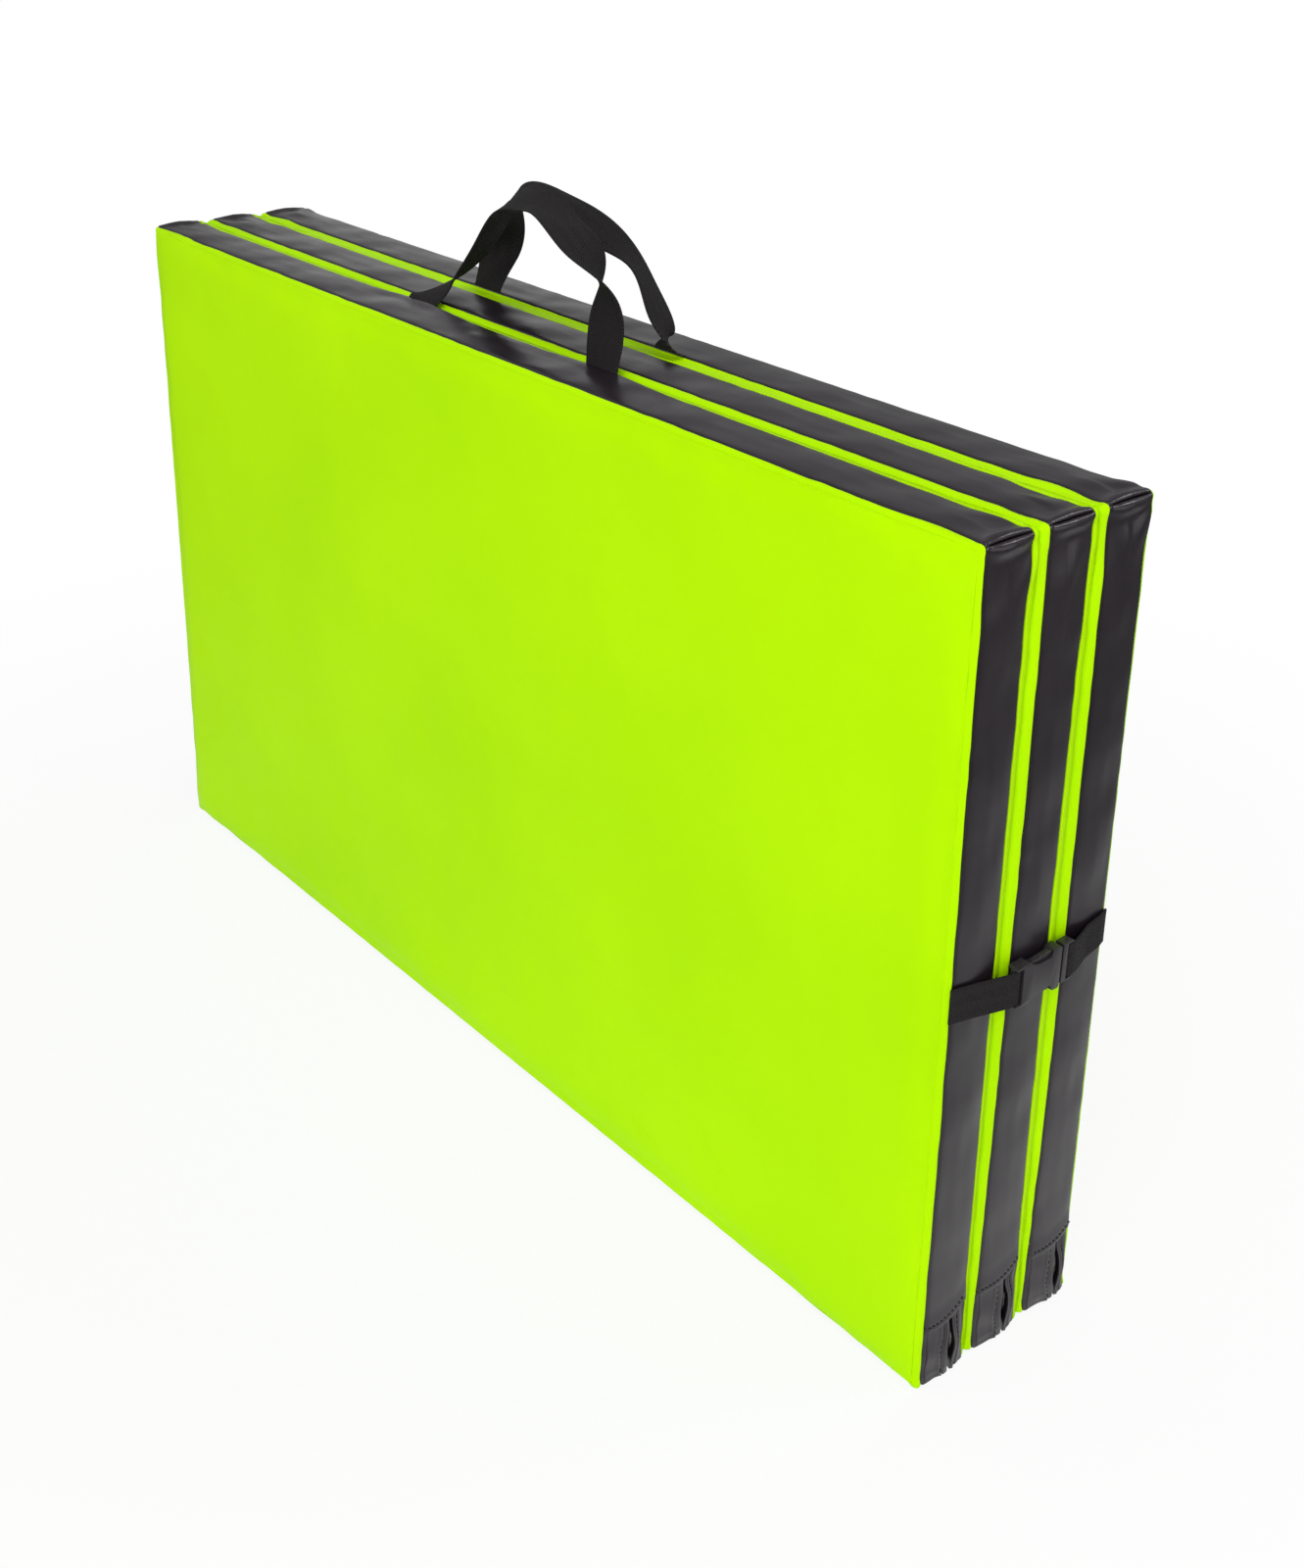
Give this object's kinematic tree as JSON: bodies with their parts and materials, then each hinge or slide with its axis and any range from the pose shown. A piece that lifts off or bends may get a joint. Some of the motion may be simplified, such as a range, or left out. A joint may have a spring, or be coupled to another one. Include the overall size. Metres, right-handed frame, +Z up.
{
  "type": "folding gymnastics mat",
  "caption": "Padded vinyl exercise mat folded in a zigzag on its long edge, with fold hinges, webbing carry handles, zipped bottoms and a strap with a side-release buckle.",
  "frame": {"origin": "on the floor under the middle of the folded stack of panels", "axes": "+X along the mat towards the strap's end, +Y through the folded stack from its front face to its back, +Z up"},
  "size_m": [1.0098, 0.1586, 0.7027],
  "materials": {
    "lime_vinyl": "smooth satin vinyl",
    "black_vinyl": "smooth satin vinyl",
    "foam": "open-cell foam",
    "zip_tape": "woven",
    "zip_metal": "black lacquered",
    "webbing": "woven webbing",
    "buckle_plastic": "moulded, slight sheen"
  },
  "bodies": {
    "front_panel": {"front_panel_foam_core": "foam", "front_panel_front_skin": "lime_vinyl", "front_panel_back_skin": "lime_vinyl", "front_panel_top_band": "black_vinyl", "front_panel_left_end_band": "black_vinyl", "front_panel_right_end_band": "black_vinyl", "front_panel_zip_band_front": "black_vinyl", "front_panel_zip_band_rear": "black_vinyl", "front_panel_zip_chain": "zip_tape", "strap_front_webbing": "webbing", "buckle_socket": "buckle_plastic"},
    "middle_panel": {"middle_panel_foam_core": "foam", "middle_panel_front_skin": "lime_vinyl", "middle_panel_back_skin": "lime_vinyl", "middle_panel_top_band": "black_vinyl", "middle_panel_left_end_band": "black_vinyl", "middle_panel_right_end_band": "black_vinyl", "middle_panel_zip_band_front": "black_vinyl", "middle_panel_zip_band_rear": "black_vinyl", "middle_panel_zip_chain": "zip_tape", "bottom_hinge_strip": "lime_vinyl", "top_hinge_strip": "lime_vinyl"},
    "rear_panel": {"rear_panel_foam_core": "foam", "rear_panel_front_skin": "lime_vinyl", "rear_panel_back_skin": "lime_vinyl", "rear_panel_top_band": "black_vinyl", "rear_panel_left_end_band": "black_vinyl", "rear_panel_right_end_band": "black_vinyl", "rear_panel_zip_band_front": "black_vinyl", "rear_panel_zip_band_rear": "black_vinyl", "rear_panel_zip_chain": "zip_tape", "strap_rear_webbing": "webbing"},
    "front_handle": {"front_handle": "webbing"},
    "rear_handle": {"rear_handle": "webbing"},
    "buckle_plug": {"buckle_plug": "buckle_plastic"},
    "latch_upper": {"buckle_latch_upper": "buckle_plastic"},
    "latch_lower": {"buckle_latch_lower": "buckle_plastic"},
    "front_zip_slider": {"front_panel_zip_slider": "zip_metal"},
    "front_zip_pull": {"front_panel_zip_pull": "zip_metal"},
    "middle_zip_slider": {"middle_panel_zip_slider": "zip_metal"},
    "middle_zip_pull": {"middle_panel_zip_pull": "zip_metal"},
    "rear_zip_slider": {"rear_panel_zip_slider": "zip_metal"},
    "rear_zip_pull": {"rear_panel_zip_pull": "zip_metal"}
  },
  "joints": [
    {"name": "fold_rear", "type": "hinge", "parent": "rear_panel", "child": "middle_panel", "pos_m": [0, 0.02715, 0.6003], "axis": [-1, 0, 0], "range_deg": [0, 180], "deforming": ["top_hinge_strip", "front_handle", "rear_handle"]},
    {"name": "fold_front", "type": "hinge", "parent": "middle_panel", "child": "front_panel", "pos_m": [0, -0.02715, -0.0003], "axis": [1, 0, 0], "range_deg": [0, 180], "deforming": ["bottom_hinge_strip"]},
    {"name": "front_handle_swing", "type": "hinge", "parent": "front_panel", "child": "front_handle", "pos_m": [0, -0.0343, 0.60014], "axis": [1, 0, 0], "range_deg": [0, 70]},
    {"name": "rear_handle_swing", "type": "hinge", "parent": "rear_panel", "child": "rear_handle", "pos_m": [0, 0.0343, 0.60014], "axis": [-1, 0, 0], "range_deg": [0, 20]},
    {"name": "buckle_release", "type": "slide", "parent": "rear_panel", "child": "buckle_plug", "axis": [0, 1, 0], "range_m": [0, 0.028], "deforming": ["strap_rear_webbing", "buckle_latch_upper", "buckle_latch_lower"]},
    {"name": "latch_upper_press", "type": "hinge", "parent": "buckle_plug", "child": "latch_upper", "pos_m": [0.5055, 0.0197, 0.3052], "axis": [1, 0, 0], "range_deg": [0, 9.5], "stiffness_Nm_per_rad": 0.3},
    {"name": "latch_lower_press", "type": "hinge", "parent": "buckle_plug", "child": "latch_lower", "pos_m": [0.5055, 0.0197, 0.2838], "axis": [-1, 0, 0], "range_deg": [0, 9.5], "stiffness_Nm_per_rad": 0.3},
    {"name": "front_zip_slide", "type": "slide", "parent": "front_panel", "child": "front_zip_slider", "axis": [1, 0, 0], "range_m": [0, 0.94]},
    {"name": "front_zip_pull_flip", "type": "hinge", "parent": "front_zip_slider", "child": "front_zip_pull", "pos_m": [-0.47, -0.0473, 0.00205], "axis": [0, 1, 0], "range_deg": [0, 180]},
    {"name": "middle_zip_slide", "type": "slide", "parent": "middle_panel", "child": "middle_zip_slider", "axis": [1, 0, 0], "range_m": [0, 0.94]},
    {"name": "middle_zip_pull_flip", "type": "hinge", "parent": "middle_zip_slider", "child": "middle_zip_pull", "pos_m": [-0.47, 0.007, 0.00205], "axis": [0, 1, 0], "range_deg": [0, 180]},
    {"name": "rear_zip_slide", "type": "slide", "parent": "rear_panel", "child": "rear_zip_slider", "axis": [1, 0, 0], "range_m": [0, 0.94]},
    {"name": "rear_zip_pull_flip", "type": "hinge", "parent": "rear_zip_slider", "child": "rear_zip_pull", "pos_m": [-0.47, 0.0613, 0.00205], "axis": [0, 1, 0], "range_deg": [0, 180]}
  ],
  "couplings": [
    {"joint": "latch_lower_press", "follows": "latch_upper_press", "ratio": 1}
  ]
}
